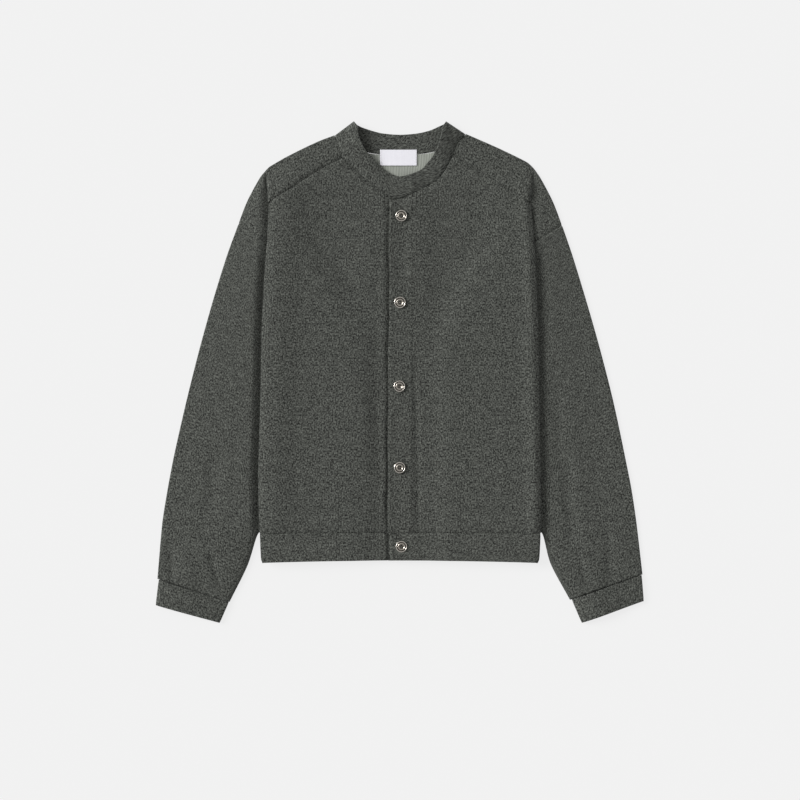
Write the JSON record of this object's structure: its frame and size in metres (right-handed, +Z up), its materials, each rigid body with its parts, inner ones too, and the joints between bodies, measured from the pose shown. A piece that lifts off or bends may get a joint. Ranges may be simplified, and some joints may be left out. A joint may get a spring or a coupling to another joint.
{
  "type": "cardigan jacket",
  "caption": "Boxy wool cardigan jacket with a stand collar, buttoned front, forward shoulder seams, hem band and cuffs, laid flat on its back with sleeves down beside it.",
  "frame": {"origin": "bottom centre of the bounding box: on the surface that the jacket lies on, under the middle of its laid-out outline", "axes": "+Y along the centre front towards the neck, +X towards the wearer's left, +Z up from the surface, out of the front"},
  "size_m": [0.7093, 0.7278, 0.0128],
  "materials": {
    "wool": "soft matte melange wool cloth",
    "wool_band": "soft matte melange wool cloth, doubled",
    "lining": "fine ribbed lining cloth",
    "label": "smooth woven tape, blank",
    "button_metal": "pale polished metal"
  },
  "bodies": {
    "root": {"back": "wool", "front_left": "wool", "front_right": "wool", "yoke_left": "wool", "yoke_right": "wool", "sleeve_left": "wool", "sleeve_right": "wool", "cuff_left": "wool_band", "cuff_right": "wool_band", "hem_band": "wool_band", "collar": "wool_band", "lining": "lining", "label": "label", "button_1": "button_metal", "button_2": "button_metal", "button_3": "button_metal", "button_4": "button_metal", "button_5": "button_metal"}
  },
  "joints": []
}
